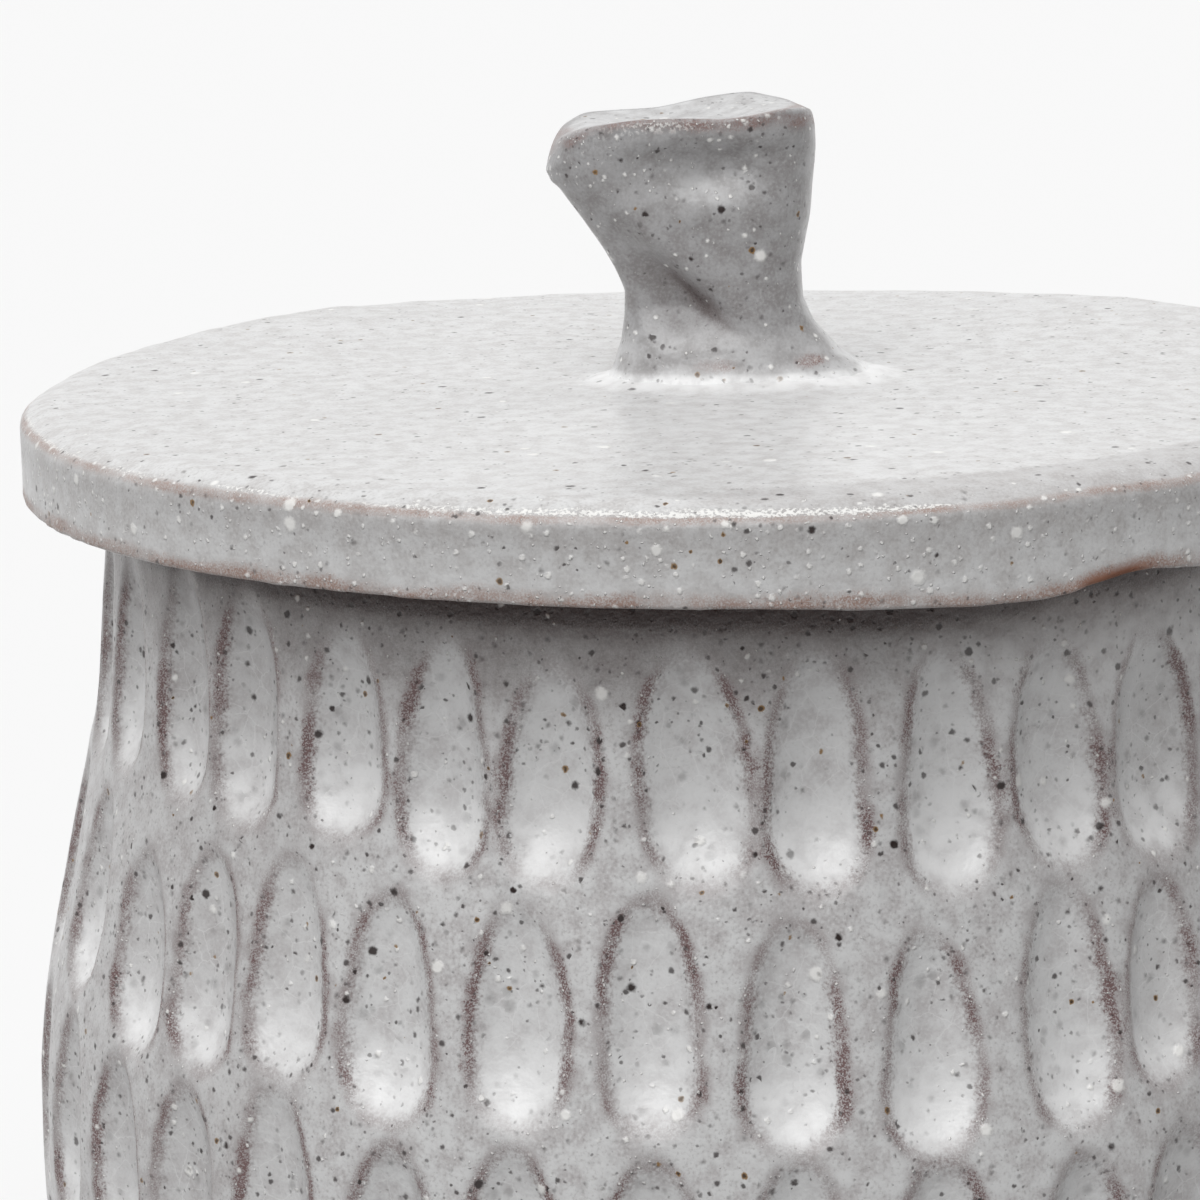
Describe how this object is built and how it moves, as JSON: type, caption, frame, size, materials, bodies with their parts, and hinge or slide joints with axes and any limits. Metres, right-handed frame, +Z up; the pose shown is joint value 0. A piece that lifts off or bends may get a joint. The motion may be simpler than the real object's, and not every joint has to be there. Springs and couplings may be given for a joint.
{
  "type": "lidded stoneware jar",
  "caption": "Round stoneware jar with a wall of hand-carved oval gouges, a flat overhanging slab lid and a pinched clay knob.",
  "frame": {"origin": "centre of the flat underside that the jar stands on", "axes": "+Z up along the jar's axis; -Y is the front, and the beak of the knob points to -X"},
  "size_m": [0.1397, 0.1404, 0.1734],
  "materials": {
    "wall_glaze": "satin grey-white glaze with brown and black iron specks, broken to brown on the edges of the gouges",
    "lid_glaze": "smooth satin grey-white glaze with fine dark specks and brown edges",
    "bare_clay": "matte unglazed reddish-brown stoneware"
  },
  "bodies": {
    "jar": {"jar_wall": "wall_glaze", "jar_floor": "bare_clay"},
    "lid": {"lid_slab": "lid_glaze", "lid_flange": "bare_clay", "knob": "lid_glaze"}
  },
  "joints": [
    {"name": "lid_lift", "type": "slide", "parent": "jar", "child": "lid", "axis": [0, 0, 1], "range_m": [0, 0.1]}
  ]
}
